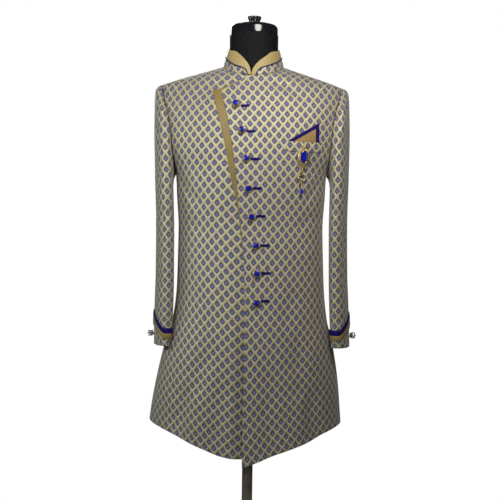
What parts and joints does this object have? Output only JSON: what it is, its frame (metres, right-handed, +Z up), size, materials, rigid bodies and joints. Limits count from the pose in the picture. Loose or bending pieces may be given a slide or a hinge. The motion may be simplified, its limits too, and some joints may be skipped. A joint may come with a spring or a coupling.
{
  "type": "sherwani coat on a dress form",
  "caption": "Knee-length brocade coat with a stand collar, slanted gold-edged closing, jewelled buttons and a hanging brooch, worn by a limbless dress form on a pole and round base.",
  "frame": {"origin": "centre of the base plate's underside, on the pole's axis", "axes": "+Z up; the wearer's front faces -Y; the wearer's left is +X"},
  "size_m": [0.5142, 0.36, 1.483],
  "materials": {
    "lozenge_brocade": "woven brocade",
    "gold_satin": "satin",
    "navy_satin": "satin",
    "old_gold": "polished",
    "blue_stone": "faceted and polished",
    "black_cover": "matte jersey",
    "black_gloss": "lacquered",
    "dark_steel": "dark satin"
  },
  "bodies": {
    "coat_and_form": {"back": "lozenge_brocade", "brooch_frame": "old_gold", "brooch_stone": "blue_stone", "button_loop_1": "navy_satin", "button_loop_2": "navy_satin", "button_loop_3": "navy_satin", "button_loop_4": "navy_satin", "button_loop_5": "navy_satin", "button_loop_6": "navy_satin", "button_loop_7": "navy_satin", "button_loop_8": "navy_satin", "button_mount_1": "old_gold", "button_mount_2": "old_gold", "button_mount_3": "old_gold", "button_mount_4": "old_gold", "button_mount_5": "old_gold", "button_mount_6": "old_gold", "button_mount_7": "old_gold", "button_mount_8": "old_gold", "button_stone_1": "blue_stone", "button_stone_2": "blue_stone", "button_stone_3": "blue_stone", "button_stone_4": "blue_stone", "button_stone_5": "blue_stone", "button_stone_6": "blue_stone", "button_stone_7": "blue_stone", "button_stone_8": "blue_stone", "collar_band": "gold_satin", "collar_piping": "navy_satin", "collar_stand": "lozenge_brocade", "cuff_button_left": "old_gold", "cuff_button_right": "old_gold", "cuff_gold_left": "gold_satin", "cuff_gold_right": "gold_satin", "cuff_navy_left": "navy_satin", "cuff_navy_right": "navy_satin", "form_knob": "black_gloss", "form_neck_cap": "black_gloss", "form_torso": "black_cover", "front_left": "lozenge_brocade", "front_right": "lozenge_brocade", "gold_strip": "gold_satin", "pocket_welt": "lozenge_brocade", "sleeve_left": "lozenge_brocade", "sleeve_right": "lozenge_brocade", "square_border": "navy_satin", "square_heart": "gold_satin", "stand_base": "dark_steel", "stand_pole": "dark_steel"},
    "pendant": {"brooch_pendant": "old_gold"},
    "drop": {"brooch_drop": "old_gold", "brooch_drop_stone": "blue_stone"}
  },
  "joints": [
    {"name": "pendant_swing", "type": "hinge", "parent": "coat_and_form", "child": "pendant", "pos_m": [0.12031, -0.11117, 1.09], "axis": [0.4149, -0.9099, 0], "range_deg": [-30, 30]},
    {"name": "drop_swing", "type": "hinge", "parent": "pendant", "child": "drop", "pos_m": [0.12031, -0.11117, 1.0624], "axis": [0.4149, -0.9099, 0], "range_deg": [-30, 30]}
  ]
}
